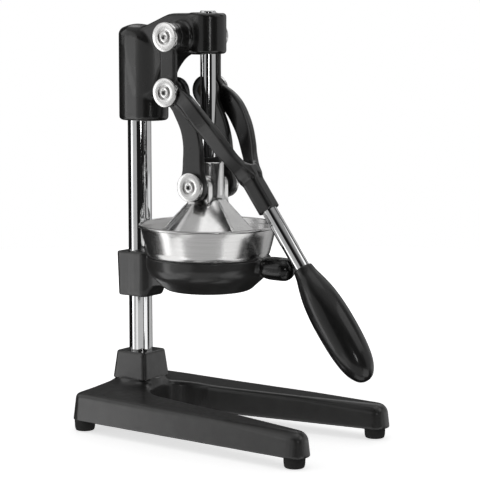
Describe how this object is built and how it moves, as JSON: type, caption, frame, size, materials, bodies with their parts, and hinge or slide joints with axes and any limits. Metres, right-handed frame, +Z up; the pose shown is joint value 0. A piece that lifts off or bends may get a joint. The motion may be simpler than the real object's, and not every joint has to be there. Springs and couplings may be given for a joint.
{
  "type": "citrus press juicer",
  "caption": "Free-standing lever citrus press: a forked handle and side links slide a ribbed dome down a guide rod onto a strainer cone in a steel bowl over a glass",
  "frame": {"origin": "on the surface the four feet stand on, under the middle of the whole object's bounding box", "axes": "+Z up along the column, +X from the column towards the handle and the open ends of the legs, +Y to the left across the base"},
  "size_m": [0.3232, 0.18, 0.44],
  "materials": {
    "black_enamel": "gloss black enamel on cast iron, slight orange peel",
    "chrome": "polished chrome plate",
    "cast_aluminium": "polished casting with fine satin grain",
    "stainless": "spun and brushed stainless sheet",
    "bright_steel": "fine turned and plated steel",
    "zinc_steel": "dull zinc plate",
    "bronze": "oiled sintered bronze",
    "black_rubber": "matt moulded rubber",
    "bumper_plastic": "gloss black moulding",
    "grip_plastic": "satin black moulding with a fine leather grain"
  },
  "bodies": {
    "root": {"base_casting": "black_enamel", "foot_rear_left": "black_rubber", "foot_front_left": "black_rubber", "foot_screw_rear_left": "zinc_steel", "foot_screw_front_left": "zinc_steel", "foot_rear_right": "black_rubber", "foot_front_right": "black_rubber", "foot_screw_rear_right": "zinc_steel", "foot_screw_front_right": "zinc_steel", "column_tube": "chrome", "column_plug": "zinc_steel", "column_bolt": "zinc_steel", "column_bolt_washer": "zinc_steel", "head_casting": "black_enamel", "head_set_screw": "zinc_steel", "guide_rod": "chrome", "rod_set_screw": "zinc_steel", "bracket_casting": "black_enamel", "bracket_set_screw": "zinc_steel", "lever_bumper": "bumper_plastic", "bumper_stud": "zinc_steel", "bowl": "stainless", "strainer_cone": "stainless", "lever_pivot_washer_left": "bright_steel", "lever_pivot_screw_left": "bright_steel", "lever_pivot_washer_right": "bright_steel", "lever_pivot_screw_right": "bright_steel"},
    "lever": {"yoke_casting": "black_enamel", "handle_bar": "chrome", "grip": "grip_plastic", "lever_bush_left": "bronze", "crank_pivot_washer_left": "bright_steel", "crank_pivot_screw_left": "bright_steel", "lever_bush_right": "bronze", "crank_pivot_washer_right": "bright_steel", "crank_pivot_screw_right": "bright_steel"},
    "press_head": {"press_dome": "cast_aluminium", "rod_bushing": "bronze", "rod_seal": "black_rubber", "dome_pivot_washer_left": "bright_steel", "dome_pivot_screw_left": "bright_steel", "dome_pivot_washer_right": "bright_steel", "dome_pivot_screw_right": "bright_steel"},
    "left_link": {"link_left": "black_enamel", "link_upper_bush_left": "bronze", "link_lower_bush_left": "bronze"},
    "right_link": {"link_right": "black_enamel", "link_upper_bush_right": "bronze", "link_lower_bush_right": "bronze"}
  },
  "joints": [
    {"name": "lever_hinge", "type": "hinge", "parent": "root", "child": "lever", "pos_m": [-0.0588, 0, 0.4135], "axis": [0, -1, 0], "range_deg": [0, 100]},
    {"name": "press_slide", "type": "slide", "parent": "root", "child": "press_head", "axis": [0, 0, 1], "range_m": [0, 0.0695]},
    {"name": "link_hinge_left", "type": "hinge", "parent": "press_head", "child": "left_link", "pos_m": [-0.037, 0.0258, 0.2606], "axis": [0, -1, 0], "range_deg": [-32.6, 0]},
    {"name": "link_hinge_right", "type": "hinge", "parent": "press_head", "child": "right_link", "pos_m": [-0.037, -0.0258, 0.2606], "axis": [0, -1, 0], "range_deg": [-32.6, 0]}
  ],
  "couplings": [
    {"joint": "press_slide", "follows": "lever_hinge", "m_per_rad": 0.039752},
    {"joint": "link_hinge_left", "follows": "lever_hinge", "ratio": -0.32485},
    {"joint": "link_hinge_right", "follows": "lever_hinge", "ratio": -0.32485}
  ]
}
